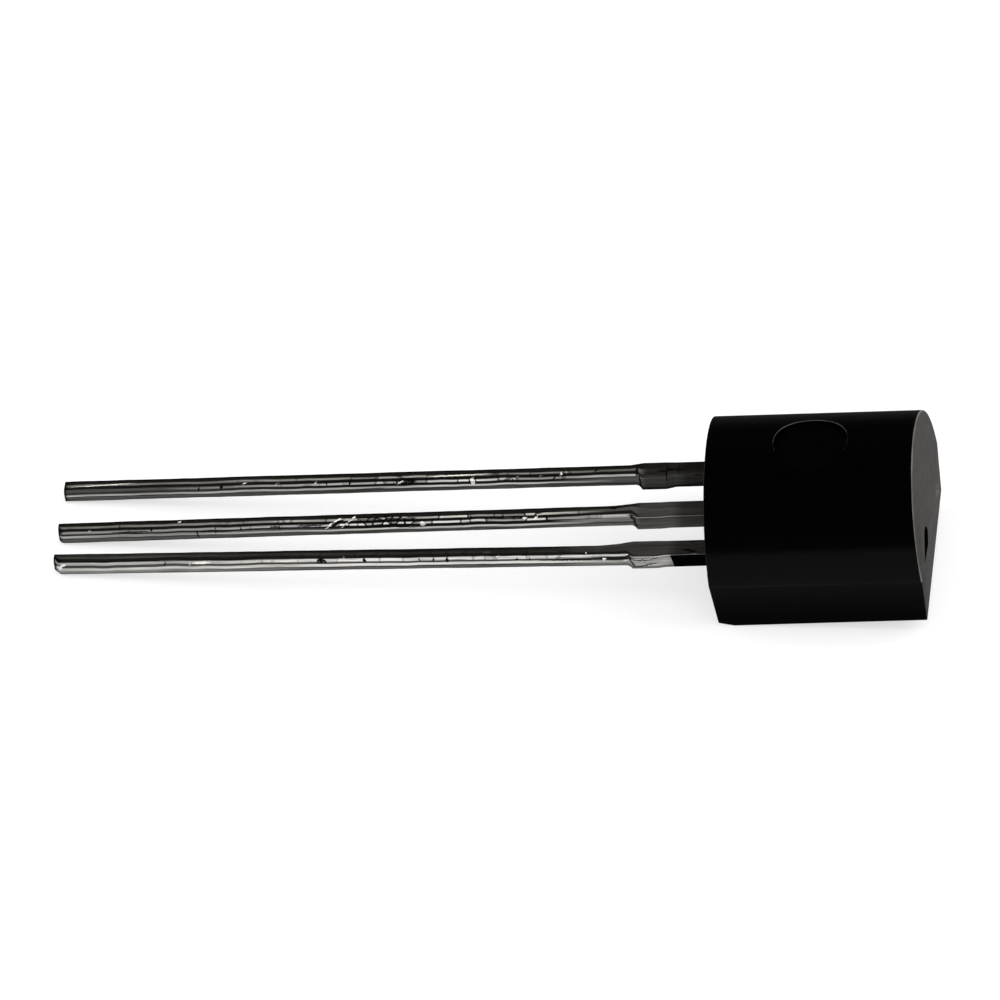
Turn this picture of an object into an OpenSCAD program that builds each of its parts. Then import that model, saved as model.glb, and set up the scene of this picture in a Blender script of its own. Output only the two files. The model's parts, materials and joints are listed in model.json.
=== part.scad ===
// Transistor in a D-shaped moulded case with three in-line leads.
// It lies flat side down, as it comes to rest: on the base edge of its flat
// and on its three lead tips. All sizes are in millimetres.
// Package axes: X from the lead side to the closed end, Y across, Z up from the flat.

/* [Case] */
// Width of the case across its round back
case_w = 4.4; // [4.2:0.05:4.8]
// Length of the case, from the lead side to the closed end
case_l = 4.6; // [4.3:0.05:5.2]
// Height of the parting line above the flat; the leads lie on it
parting_h = 1.25; // [1.1:0.05:1.45]
// Width of the flat
flat_w = 4.1; // [3.6:0.05:4.2]
// Draft of the closed end above the parting line, in degrees
end_draft_back = 2.7; // [0:0.1:5]
// Draft of the closed end below the parting line, in degrees
end_draft_flat = 1.6; // [0:0.1:5]
// Draft of the lead side above the parting line, in degrees
base_draft_back = 0.3; // [0:0.1:5]
// Draft of the lead side below the parting line, in degrees
base_draft_flat = 3.1; // [0:0.1:5]
// Length of the bevel between the flat and the lead side
bevel_l = 0.33; // [0.1:0.01:0.5]
// Height of that bevel
bevel_h = 0.10; // [0.02:0.01:0.2]

/* [Ejector pin mark] */
// Diameter of the round mark that the ejector pin leaves in the back
ejector_d = 1.6; // [1.2:0.1:2]
// Distance of its centre from the lead side
ejector_x = 2.26; // [1.6:0.02:2.8]
// Depth of its flat floor below the lowest point of its rim
ejector_step = 0.04; // [0.01:0.01:0.15]

/* [Gate scar] */
// Radius of the round end of the scar where the gate broke off
gate_r = 0.27; // [0.1:0.01:0.35]
// Offset of its round end from the middle of the case
gate_y = -0.86; // [-1:0.02:1]
// Length of its tapered tail, from the centre of the round end
gate_l = 0.70; // [0.4:0.01:0.9]
// Height of its round end above the parting line
gate_up = 0.03; // [0:0.01:0.3]
// Turn of its tail towards the flat, in degrees
gate_turn = 10; // [-20:1:20]
// Depth of the scar
gate_depth = 0.12; // [0.04:0.01:0.3]

/* [Leads] */
// Distance between the centres of neighbouring leads
pitch = 1.27; // [1.2:0.01:1.33]
// Length of the leads outside the case
lead_l = 14.3; // [12.7:0.1:15]
// Width of a lead
lead_w = 0.38; // [0.36:0.01:0.46]
// Thickness of the leads and of the whole lead frame
lead_t = 0.35; // [0.32:0.01:0.45]
// Radius of the long edges of a lead
lead_edge_r = 0.1; // [0.02:0.01:0.15]
// Sideways bend of the base lead at its tip
base_bend = 0.02; // [-0.4:0.01:0.4]
// Sideways bend of the collector lead at its tip
collector_bend = -0.04; // [-0.4:0.01:0.4]
// Sideways bend of the emitter lead at its tip
emitter_bend = 0.25; // [-0.4:0.01:0.4]
// Radius of the worn corner at the collector lead's tip
tip_r = 0.13; // [0.05:0.01:0.18]
// Size of the cut corner at the emitter lead's tip
tip_cut = 0.14; // [0.05:0.01:0.18]

/* [Stubs and necks] */
// Distance from the case to the stubs left by the cut dam bar
stub_x = 1.17; // [1.05:0.01:1.5]
// Length of the stubs
stub_l = 0.53; // [0.4:0.01:0.8]
// Base lead: from its centre to the left edge of its stub, seen from the tips
base_stub_left = 0.20; // [0.19:0.01:0.3]
// Base lead: from its centre to the right edge of its stub
base_stub_right = 0.30; // [0.19:0.01:0.35]
// Base lead: from its centre to the left edge of its neck
base_neck_left = 0.19; // [0.17:0.01:0.25]
// Base lead: from its centre to the right edge of its neck
base_neck_right = 0.24; // [0.17:0.01:0.3]
// Length of the slant on the left of the base lead's stub
base_slant = 0.38; // [0.1:0.01:1]
// Collector lead: from its centre to the left edge of its stub
collector_stub_left = 0.21; // [0.19:0.01:0.3]
// Collector lead: from its centre to the right edge of its stub
collector_stub_right = 0.28; // [0.19:0.01:0.35]
// Collector lead: from its centre to the left edge of its neck
collector_neck_left = 0.22; // [0.17:0.01:0.25]
// Collector lead: from its centre to the right edge of its neck
collector_neck_right = 0.26; // [0.17:0.01:0.3]
// Length of the slant on the left of the collector lead's stub
collector_slant = 0.7; // [0.1:0.01:1]
// Emitter lead: from its centre to the left edge of its stub
emitter_stub_left = 0.26; // [0.19:0.01:0.3]
// Emitter lead: from its centre to the right edge of its stub
emitter_stub_right = 0.25; // [0.19:0.01:0.35]
// Emitter lead: from its centre to the left edge of its neck
emitter_neck_left = 0.25; // [0.17:0.01:0.25]
// Emitter lead: from its centre to the right edge of its neck
emitter_neck_right = 0.22; // [0.17:0.01:0.3]
// Length of the slant on the left of the emitter lead's stub
emitter_slant = 1.0; // [0.1:0.01:1]
// Length of the slant on the right of each stub
right_slant = 0.15; // [0.05:0.01:0.4]
// Length over which a stub's edge runs into its neck
neck_slope = 0.2; // [0.02:0.01:0.3]

/* [Moulding flash] */
// Length of the flash that ran out along the emitter lead's neck
flash_l = 0.85; // [0.3:0.01:0.9]
// Thickness of the flash
flash_t = 0.03; // [0.02:0.01:0.08]
// Height of its lower edge above the underside of the lead
flash_up = 0.04; // [0.01:0.01:0.1]

/* [Lead frame inside the case] */
// Distance of the die pad from the lead side
pad_x = 1.35; // [1.2:0.05:1.6]
// Length of the die pad
pad_l = 1.9; // [1.4:0.05:2.2]
// Width of the die pad
pad_w = 1.44; // [1.1:0.02:1.6]
// Width of the anchor bar that locks the collector lead in the case
anchor_w = 1.2; // [0.8:0.05:1.4]
// Length of the bonding posts of the outer leads
post_l = 1.9; // [1.6:0.05:2.2]
// How far a bonding post reaches outwards from its lead's centre
post_out = 0.5; // [0.35:0.01:0.55]
// How far a bonding post reaches inwards from its lead's centre
post_in = 0.32; // [0.25:0.01:0.36]

/* [Die and wires] */
// Side of the square silicon die
die_w = 0.5; // [0.3:0.01:0.7]
// Thickness of the die
die_t = 0.2; // [0.1:0.01:0.3]
// Thickness of the layer that bonds the die to its pad
attach_t = 0.025; // [0.01:0.005:0.04]
// How far that layer stands out around the die
attach_rim = 0.05; // [0.02:0.01:0.08]
// Diameter of the bond wires
wire_d = 0.03; // [0.02:0.005:0.05]
// Height of the wire loops above the die
loop_h = 0.32; // [0.2:0.01:0.5]
// Diameter of the ball at the die end of a wire
ball_d = 0.09; // [0.07:0.01:0.12]
// Height of that ball
ball_h = 0.03; // [0.02:0.005:0.04]

/* [Hidden] */
over = 1;                                 // how far cutters reach past what they cut
back_r = case_w / 2;
case_h = parting_h + back_r;
round_fn = 144;                           // a multiple of 4, so arcs meet the parting line
small_fn = 24;

// Side view of the case: where its two ends reach the back, the flat and the bevel
end_back_x = case_l - back_r * tan(end_draft_back);
end_flat_x = case_l - parting_h * tan(end_draft_flat);
base_back_x = back_r * tan(base_draft_back);
base_flat_x = parting_h * tan(base_draft_flat);
base_bevel_x = (parting_h - bevel_h) * tan(base_draft_flat);
rest_x = base_flat_x + bevel_l;           // the edge of the flat that the case rests on

// Rest pose: one line through the undersides of the lead tips and that edge
tilt = atan(parting_h / (lead_l + rest_x));
rest_up = -rest_x * sin(tilt);
tip_x = -lead_l * cos(tilt) - (parting_h + lead_t) * sin(tilt);
far_x = max(end_flat_x * cos(tilt), case_l * cos(tilt) - parting_h * sin(tilt));
rest_shift = -(tip_x + far_x) / 2;

// Ejector pin mark: the rim is lowest where the pin's circle is widest across the back
ejector_floor = parting_h + sqrt(back_r * back_r - ejector_d * ejector_d / 4) - ejector_step;

// Lead frame
frame_top = parting_h + lead_t;
stub_end = stub_x + stub_l;
slant_start = lead_w / 2 - 1.5 * lead_edge_r;  // inside the rounded shaft, so no step shows
bend_x = stub_x + stub_l / 2;             // the shafts bend inside their stubs
flash_root = 0.2;                         // how far the flash starts inside the case
flash_tear = 0.06;
anchor_x = 0.45;
anchor_l = 0.3;
waist_w = 0.4;                            // collector between anchor bar and die pad
pad_corner = 0.15;
post_x = pad_x + (pad_l - post_l) / 2;
post_slope = 0.3;
notch_x = 0.55;                           // resin lock notch in a post, from its start
notch_l = 0.3;
notch_d = 0.2;

// Die and bonds
die_x = pad_x + pad_l / 2;
die_z = frame_top + attach_t;
die_top = die_z + die_t;
bond_out = 0.24;                          // bond places on the die, as shares of its side
bond_along = 0.2;
land_y = pitch - 0.1;                     // where the wires land on the posts
land_x = die_x + 0.1;
land_rise = 25;                           // slope of a wire where it lands, in degrees
foot_l = 0.12;
foot_w = wire_d * 1.6;
foot_h = wire_d * 0.6;
wire_steps = 16;
wire_sides = 8;

case();
collector_lead();
base_lead();
emitter_lead();
die_attach();
die();
base_wire();
emitter_wire();

// ---- sub-parts ----

// Moulded epoxy case, with its lead frame, die and wires left out of it
module case()
    color([0.03, 0.03, 0.03])
    at_rest()
    difference() {
        union() {
            case_form();
            flash();
        }
        ejector_mark();
        gate_scar();
        collector_form();
        base_form();
        emitter_form();
        attach_form();
        die_form();
        wire_form(1);
        wire_form(-1);
    }

module collector_lead() color([0.6, 0.6, 0.58]) at_rest() collector_form();

module base_lead() color([0.6, 0.6, 0.58]) at_rest() base_form();

module emitter_lead() color([0.6, 0.6, 0.58]) at_rest() emitter_form();

module die_attach() color([0.75, 0.72, 0.6]) at_rest() attach_form();

module die() color([0.35, 0.37, 0.42]) at_rest() die_form();

module base_wire() color([0.95, 0.75, 0.3]) at_rest() wire_form(1);

module emitter_wire() color([0.95, 0.75, 0.3]) at_rest() wire_form(-1);

// ---- placing ----

// Tips the package from its own axes onto the surface it lies on
module at_rest()
    translate([rest_shift, 0, rest_up])
        rotate([0, -tilt, 0])
            children();

// A profile drawn in Y and Z, from one X to another
module along_x(from, to)
    translate([from, 0, 0])
        rotate([90, 0, 90])
            linear_extrude(height = to - from)
                children();

// A profile drawn in X and Z, to the same distance on both sides
module along_y(half)
    translate([0, half, 0])
        rotate([90, 0, 0])
            linear_extrude(height = 2 * half)
                children();

// A profile drawn in X and Y, as thick as the lead frame
module frame_plate()
    translate([0, 0, parting_h])
        linear_extrude(height = lead_t)
            children();

// ---- case ----

// The D of the end view, limited by the side view with its drafts and bevel
module case_form()
    intersection() {
        along_x(-over, case_l + over) end_view();
        along_y(back_r + over) side_view();
    }

module end_view() {
    intersection() {
        translate([0, parting_h]) circle(r = back_r, $fn = round_fn);
        translate([-back_r, parting_h]) square([case_w, back_r]);
    }
    polygon([[-flat_w / 2, 0], [flat_w / 2, 0], [back_r, parting_h], [-back_r, parting_h]]);
}

module side_view()
    polygon([
        [0, parting_h],
        [base_bevel_x, bevel_h],
        [rest_x, 0],
        [end_flat_x, 0],
        [case_l, parting_h],
        [end_back_x, case_h],
        [base_back_x, case_h]
    ]);

module ejector_mark()
    translate([ejector_x, 0, ejector_floor])
        cylinder(h = back_r, d = ejector_d, $fn = round_fn);

// Torn gate: a round end with a tail that tapers along the parting line
module gate_scar()
    along_x(case_l - gate_depth, case_l + over)
        translate([gate_y, parting_h + gate_up])
            rotate(gate_turn) {
                circle(r = gate_r, $fn = small_fn);
                polygon(concat([[-gate_l, 0]], tail_contact(gate_r, gate_l)));
            }

// The two points where lines from a tail's tip touch its round end
function tail_contact(r, l) =
    let (a = acos(r / l))
    [for (s = [-1, 1]) [-r * cos(a), s * r * sin(a)]];

// Thin moulding flash on the right side of the emitter lead's neck, with a slanted torn end
module flash()
    translate([0, -pitch - emitter_neck_right, parting_h])
        rotate([90, 0, 0])
            linear_extrude(height = flash_t)
                polygon([
                    [-flash_l, lead_t],
                    [-flash_l + flash_tear, flash_up],
                    [flash_root, flash_up],
                    [flash_root, lead_t]
                ]);

// ---- leads ----

module collector_form() {
    frame_plate() collector_plan();
    difference() {
        shaft(0, collector_bend);
        tip_corner(collector_bend, 0, tip_r) {
            square([tip_r + over, tip_r + over]);
            circle(r = tip_r, $fn = small_fn);
        }
    }
}

module base_form() {
    frame_plate()
        translate([0, pitch])
            outer_plan(stub_edge(base_stub_left, base_neck_left, base_slant),
                       stub_edge(base_stub_right, base_neck_right, right_slant));
    shaft(pitch, base_bend);
}

module emitter_form() {
    frame_plate()
        translate([0, -pitch])
            mirror([0, 1])
                outer_plan(stub_edge(emitter_stub_right, emitter_neck_right, right_slant),
                           stub_edge(emitter_stub_left, emitter_neck_left, emitter_slant));
    difference() {
        shaft(-pitch, emitter_bend);
        tip_corner(emitter_bend, -pitch, 0)
            rotate(45) square(tip_cut * sqrt(2), center = true);
    }
}

// Straight part of a lead, turned about its stub by its bend
module shaft(y, bend)
    bent(y, bend)
        along_x(-lead_l, -bend_x)
            translate([0, parting_h])
                lead_section();

module bent(y, bend)
    translate([-bend_x, y, 0])
        rotate([0, 0, -atan(bend / (lead_l - bend_x))])
            translate([bend_x, 0, 0])
                children();

module lead_section() {
    y = lead_w / 2 - lead_edge_r;
    translate([-y, 0]) square([2 * y, lead_t]);
    translate([-lead_w / 2, lead_edge_r]) square([lead_w, lead_t - 2 * lead_edge_r]);
    for (side = [-1, 1], z = [lead_edge_r, lead_t - lead_edge_r])
        translate([side * y, z]) circle(r = lead_edge_r, $fn = small_fn);
}

// Cuts the near corner off a lead's tip; with two children, all but the second
module tip_corner(bend, y, inset)
    bent(y, bend)
        translate([-lead_l + inset, -lead_w / 2 + inset, parting_h - over])
            linear_extrude(height = lead_t + 2 * over)
                mirror([1, 0]) mirror([0, 1])
                    difference() {
                        children(0);
                        if ($children > 1) children(1);
                    }

// Middle lead, from its stub to the die pad
module collector_plan()
    polygon(concat(
        collector_edge(collector_stub_left, collector_neck_left, collector_slant),
        other_side(collector_edge(collector_stub_right, collector_neck_right, right_slant))));

function collector_edge(stub, neck, slant) = concat(
    stub_edge(stub, neck, slant),
    [
        [anchor_x, neck],
        [anchor_x, anchor_w / 2],
        [anchor_x + anchor_l, anchor_w / 2],
        [anchor_x + anchor_l, waist_w / 2],
        [pad_x, waist_w / 2],
        [pad_x, pad_w / 2 - pad_corner],
        [pad_x + pad_corner, pad_w / 2],
        [pad_x + pad_l, pad_w / 2]
    ]);

// Outer lead, from its stub to its bonding post, between its edges; outwards is +Y
module outer_plan(outer_edge, inner_edge) {
    neck_out = outer_edge[len(outer_edge) - 1][1];
    neck_in = inner_edge[len(inner_edge) - 1][1];
    polygon(concat(
        outer_edge,
        [
            [post_x, neck_out],
            [post_x + post_slope, post_out],
            [post_x + notch_x, post_out],
            [post_x + notch_x, post_out - notch_d],
            [post_x + notch_x + notch_l, post_out - notch_d],
            [post_x + notch_x + notch_l, post_out],
            [post_x + post_l, post_out],
            [post_x + post_l, -post_in],
            [post_x + post_slope, -post_in],
            [post_x, -neck_in]
        ],
        other_side(inner_edge)));
}

// One edge of a lead, from its shaft over the stub to the neck
function stub_edge(stub, neck, slant) = [
    [-stub_end - slant, slant_start],
    [-stub_end, stub],
    [-stub_x, stub],
    [-stub_x + neck_slope, neck]
];

function other_side(p) = [for (i = [len(p) - 1 : -1 : 0]) [p[i][0], -p[i][1]]];

// ---- die and wires ----

module attach_form() {
    w = die_w + 2 * attach_rim;
    translate([die_x - w / 2, -w / 2, frame_top]) cube([w, w, attach_t]);
}

module die_form()
    translate([die_x - die_w / 2, -die_w / 2, die_z]) cube([die_w, die_w, die_t]);

// Bond wire to the base post (side 1) or the emitter post (side -1)
module wire_form(side) {
    from = [die_x - side * bond_along * die_w, side * bond_out * die_w, die_top];
    to = [land_x, side * land_y, frame_top];
    run = norm([to[0] - from[0], to[1] - from[1]]);
    heading = atan2(to[1] - from[1], to[0] - from[0]);
    translate(from) {
        cylinder(h = ball_h, d = ball_d, $fn = 12);
        rotate([0, 0, heading]) tube(loop_points(run, to[2] - from[2]), wire_d / 2);
    }
    translate(to)
        rotate([0, 0, heading])
            translate([-foot_l / 4, -foot_w / 2, 0])
                cube([foot_l, foot_w, foot_h]);
}

// A loop in X and Z that rises from the ball and comes down on its foot
function loop_points(run, drop) =
    let (
        a = [0, ball_h / 2],
        b = [0, loop_h * 1.35],
        c = [run - loop_h * 1.1 / tan(land_rise) * 0.9, drop + loop_h * 1.1],
        d = [run, drop + wire_d * 0.55]
    )
    [for (i = [0 : wire_steps]) let (t = i / wire_steps, u = 1 - t)
        u * u * u * a + 3 * u * u * t * b + 3 * u * t * t * c + t * t * t * d];

// A tube with flat sides around points in X and Z
module tube(p, r) {
    last = len(p) - 1;
    rings = [for (i = [0 : last])
        let (
            t = p[min(i + 1, last)] - p[max(i - 1, 0)],
            dir = i == 0 ? [0, 1] : t / norm(t)
        )
        for (k = [0 : wire_sides - 1])
            let (a = 360 * (k + 0.5) / wire_sides)
            [p[i][0] - dir[1] * r * cos(a), r * sin(a), p[i][1] + dir[0] * r * cos(a)]];
    walls = [for (i = [0 : last - 1], k = [0 : wire_sides - 1])
        let (n = (k + 1) % wire_sides, b = i * wire_sides, c = b + wire_sides)
        each [[b + k, c + k, b + n], [b + n, c + k, c + n]]];
    ends = [
        [for (k = [0 : wire_sides - 1]) k],
        [for (k = [wire_sides - 1 : -1 : 0]) last * wire_sides + k]
    ];
    polyhedron(points = rings, faces = concat(walls, ends));
}
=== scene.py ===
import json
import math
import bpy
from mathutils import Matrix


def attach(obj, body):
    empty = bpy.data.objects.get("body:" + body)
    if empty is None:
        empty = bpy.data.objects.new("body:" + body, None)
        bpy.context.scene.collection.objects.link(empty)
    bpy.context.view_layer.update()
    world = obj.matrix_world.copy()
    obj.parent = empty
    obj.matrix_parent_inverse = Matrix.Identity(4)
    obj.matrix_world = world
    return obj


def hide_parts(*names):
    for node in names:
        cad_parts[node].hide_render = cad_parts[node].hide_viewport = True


bl_info = {
    "name": "Three-lead transistor",
    "version": (1, 0, 0),
    "blender": (4, 5, 0),
    "location": "3D View > Sidebar > Transistor",
    "description": "Moulded case, tinned leads, die and bond wires on a plain stage",
    "category": "Object",
}

import bmesh
import bpy
from bpy.props import FloatProperty, FloatVectorProperty, PointerProperty
from mathutils import Matrix, Vector, noise

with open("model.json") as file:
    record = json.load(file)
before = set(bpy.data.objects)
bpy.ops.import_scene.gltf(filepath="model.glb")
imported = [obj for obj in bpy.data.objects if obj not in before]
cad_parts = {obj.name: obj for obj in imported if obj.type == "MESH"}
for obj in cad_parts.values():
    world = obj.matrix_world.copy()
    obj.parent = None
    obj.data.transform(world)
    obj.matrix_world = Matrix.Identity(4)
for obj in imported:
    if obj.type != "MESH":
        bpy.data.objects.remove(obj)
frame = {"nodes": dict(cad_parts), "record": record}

MM = 0.001
BODY = "root"
MOUNTS = {mount["name"]: mount for mount in frame["record"]["mounts"]}
LEAD_ROW = MOUNTS["lead_row"]
LEAD_PITCH = LEAD_ROW["dims"]["spacing_y_mm"] * MM
LEAD_LENGTH = LEAD_ROW["dims"]["length_mm"] * MM


def length(name, description, default, **limits):
    """A size in metres, shown in the scene's own length unit."""
    return FloatProperty(
        name=name, description=description, default=default, min=0, precision=5,
        subtype="DISTANCE", unit="LENGTH", **limits)


def reaches(name, *parts):
    """The distances from a lead's centre to the edges of its stub and of its neck."""
    return FloatVectorProperty(
        name=name, description="From its centre: stub left and right, neck left and right",
        default=[part * MM for part in parts], size=4, min=0, precision=5, unit="LENGTH")


def angle(name, description, degrees):
    """An angle, given in degrees and kept in radians."""
    return FloatProperty(
        name=name, description=description, default=math.radians(degrees),
        subtype="ANGLE", unit="ROTATION")


def share(name, description, default):
    """A number from 0 to 1."""
    return FloatProperty(
        name=name, description=description, default=default, min=0, max=1,
        subtype="FACTOR")


def colour(name, description, default):
    """A linear colour."""
    return FloatVectorProperty(
        name=name, description=description, default=default, min=0, max=1,
        size=3, subtype="COLOR")


# ---- sizes and colours ----


class CaseSizes(bpy.types.PropertyGroup):
    """Sizes of the moulded case, in the package's own axes."""

    width: length("Width", "Width across the round back", 4.4 * MM)
    length: length("Length", "From the lead side to the closed end", 4.6 * MM)
    parting: length("Parting height", "Height of the parting line over the flat", 1.25 * MM)
    flat: length("Flat width", "Width of the flat", 4.1 * MM)
    end_back: angle("Closed end, back", "Draft of the closed end above the parting line", 2.7)
    end_flat: angle("Closed end, flat", "Draft of the closed end below the parting line", 1.6)
    base_back: angle("Lead side, back", "Draft of the lead side above the parting line", 0.3)
    base_flat: angle("Lead side, flat", "Draft of the lead side below the parting line", 3.1)
    bevel_l: length("Bevel length", "Length of the bevel beside the flat", 0.33 * MM)
    bevel_h: length("Bevel height", "Height of the bevel beside the flat", 0.10 * MM)
    edge: length("Edge radius", "Rounding of the outer edges", 0.022 * MM)
    fine_edge: length("Fine edge radius", "Rounding of the edges of the marks", 0.022 * MM)
    # how far down the painted highlight on the rims reaches
    highlight_depth: length("Rubbed depth", "How far down the rims are rubbed pale", 0.03 * MM)
    ejector_d: length("Ejector diameter", "Diameter of the ejector pin mark", 1.6 * MM)
    ejector_x: length("Ejector place", "Distance of the mark from the lead side", 2.26 * MM)
    ejector_step: length("Ejector depth", "Depth of the floor under its lowest rim", 0.04 * MM)
    gate_r: length("Gate radius", "Radius of the round end of the gate scar", 0.27 * MM)
    gate_y: length("Gate offset", "Offset of the gate scar to the near side", 0.86 * MM)
    gate_l: length("Gate tail", "Length of the tapered tail of the scar", 0.7 * MM)
    gate_up: length("Gate height", "Height of the scar over the parting line", 0.03 * MM)
    gate_turn: angle("Gate turn", "Turn of the tail towards the flat", 10)
    gate_depth: length("Gate depth", "Depth of the scar", 0.12 * MM)


class LeadSizes(bpy.types.PropertyGroup):
    """Sizes of the three leads and the lead frame inside the case."""

    pitch: length("Pitch", "Between the centres of neighbouring leads", LEAD_PITCH)
    length: length("Length", "Length outside the case", LEAD_LENGTH)
    width: length("Width", "Width of a lead", 0.38 * MM)
    thick: length("Thickness", "Thickness of the lead frame", 0.35 * MM)
    edge: length("Edge radius", "Radius of the long edges", 0.1 * MM)
    cut_edge: length("Cut edge radius", "Radius of the edges at stub and neck", 0.025 * MM)
    stub_x: length("Stub place", "Distance of the stubs from the case", 1.17 * MM)
    stub_l: length("Stub length", "Length of the stubs", 0.53 * MM)
    base_reach: reaches("Base lead", 0.20, 0.30, 0.19, 0.24)
    collector_reach: reaches("Collector lead", 0.21, 0.28, 0.22, 0.26)
    emitter_reach: reaches("Emitter lead", 0.26, 0.25, 0.25, 0.22)
    base_slant: length("Base slant", "Slant on the left of its stub", 0.38 * MM)
    collector_slant: length("Collector slant", "Slant on the left of its stub", 0.7 * MM)
    emitter_slant: length("Emitter slant", "Slant on the left of its stub", 1.0 * MM)
    right_slant: length("Right slant", "Slant on the right of each stub", 0.15 * MM)
    neck_slope: length("Neck slope", "Length from a stub's edge into its neck", 0.2 * MM)
    base_bend: length("Base bend", "Sideways bend of the base lead at its tip", 0.02 * MM)
    collector_bend: length("Collector bend", "Bend to the right at its tip", 0.04 * MM)
    emitter_bend: length("Emitter bend", "Bend of the emitter lead at its tip", 0.25 * MM)
    coat: length("Coat variation", "How far the solder coat varies in thickness", 0.006 * MM)
    tip_round: length("Worn tip", "Radius of the collector lead's worn corner", 0.13 * MM)
    tip_cut: length("Cut tip", "Size of the emitter lead's cut corner", 0.14 * MM)
    tip_burr: length("Tip chamfer", "Chamfer round the sheared tips", 0.005 * MM)
    flash_l: length("Flash length", "Length of the flash along the emitter lead", 0.85 * MM)
    flash_t: length("Flash thickness", "Thickness of that flash", 0.03 * MM)
    flash_up: length("Flash height", "Its lower edge over the underside of the lead", 0.04 * MM)
    flash_tear: length("Flash tear", "How far the end of the flash slants", 0.06 * MM)


class Finish(bpy.types.PropertyGroup):
    """Colours and gloss."""

    case: colour("Case", "Black epoxy moulding compound", (0.0004, 0.0004, 0.0004))
    case_roughness: share("Case roughness", "Roughness of the round back", 0.42)
    # the ends' colour is partly a matt finish and partly painted light, for the grey the lit ends
    # show
    end: colour("Case ends", "Paler matt finish of the two ends", (0.026, 0.0223, 0.0191))
    # painted highlight: this pale colour of the rims stands in for light caught at the rounded
    # edges
    worn: colour("Worn edge", "Rubbed rim and wall of the moulding", (0.11, 0.103, 0.094))
    tin: colour("Tin", "Clean tin on the leads", (0.66, 0.65, 0.62))
    oxide: colour("Oxide", "Dull and dirty tin", (0.004, 0.0038, 0.0036))
    silicon: colour("Silicon", "Top of the die", (0.12, 0.13, 0.17))
    solder: colour("Solder", "Layer under the die", (0.5, 0.48, 0.4))
    gold: colour("Gold", "Bond wires", (0.95, 0.68, 0.28))


class StageSizes(bpy.types.PropertyGroup):
    """Floor, lights and camera."""

    floor: length("Floor", "Half the side of the floor", 8.0)
    floor_colour: colour("Floor colour", "Plain pale floor", (0.45, 0.45, 0.45))
    glow: FloatProperty(
        name="Floor glow", description="What the floor adds to its own colour for the eye",
        default=0.6, min=0)
    lens: FloatProperty(
        name="Lens", description="Focal length", default=742.4977, min=1, unit="CAMERA")


# ---- placing and mesh helpers ----


def rest_place():
    """From the package's own axes, in millimetres, to the row frame at rest, in metres."""
    lead = LEAD_ROW["axis"]
    tilt = math.atan2(-lead[2], -lead[0])
    sizes, leads = bpy.context.scene.case_sizes, bpy.context.scene.lead_sizes
    row = Vector((0, 0, sizes.parting + leads.thick / 2))
    return (Matrix.Translation(LEAD_ROW["pos_m"]) @ Matrix.Rotation(-tilt, 4, "Y")
            @ Matrix.Translation(-row) @ Matrix.Scale(MM, 4))


def in_mm(settings):
    """The sizes of a property group in millimetres, with its angles left alone."""
    values = {}
    for name, prop in settings.bl_rna.properties.items():
        if prop.type == "FLOAT":
            value, unit = getattr(settings, name), MM if prop.unit == "LENGTH" else 1
            values[name] = [v / unit for v in value] if prop.is_array else value / unit
    return type("Millimetres", (), values)


def scratch_object(bm, name="scratch"):
    """A bmesh as an object for a modifier to work on."""
    mesh = bpy.data.meshes.new(name)
    bm.to_mesh(mesh)
    bm.free()
    made = bpy.data.objects.new(name, mesh)
    bpy.context.scene.collection.objects.link(made)
    return made


def drop(*objects):
    """Removes scratch objects with their meshes."""
    for made in objects:
        mesh = made.data
        bpy.data.objects.remove(made)
        bpy.data.meshes.remove(mesh)


def combined(bm, other, operation):
    """A new bmesh: the first with the other cut from it or joined to it."""
    base, tool = scratch_object(bm), scratch_object(other)
    modifier = base.modifiers.new("combine", "BOOLEAN")
    modifier.operation = operation
    modifier.solver = "EXACT"
    modifier.object = tool
    done = base.evaluated_get(bpy.context.evaluated_depsgraph_get())
    result = bmesh.new()
    result.from_mesh(done.to_mesh())
    done.to_mesh_clear()
    drop(base, tool)
    return result


def placed(bm, name, materials, sharp=math.radians(35)):
    """Writes a bmesh in millimetres as a finished piece, smooth except at sharp edges."""
    bmesh.ops.recalc_face_normals(bm, faces=bm.faces)
    base = scratch_object(bm, name)
    mesh = base.data
    for material in materials:
        mesh.materials.append(material)
    mesh.shade_smooth()
    mesh.set_sharp_from_angle(angle=sharp)
    modifier = base.modifiers.new("flats", "WEIGHTED_NORMAL")
    modifier.keep_sharp = True
    modifier.weight = 100
    graph = bpy.context.evaluated_depsgraph_get()
    shaded = bpy.data.meshes.new_from_object(
        base.evaluated_get(graph), preserve_all_data_layers=True, depsgraph=graph)
    base.modifiers.clear()
    base.data = shaded
    bpy.data.meshes.remove(mesh)
    shaded.name = name
    shaded.transform(rest_place())
    shaded.update()
    return base


# ---- the case ----


# length, in millimetres, that the uncut case stands out at each end
SPARE = 1.0
BACK_STEPS, PIN_STEPS, GATE_STEPS = 120, 96, 36


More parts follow.
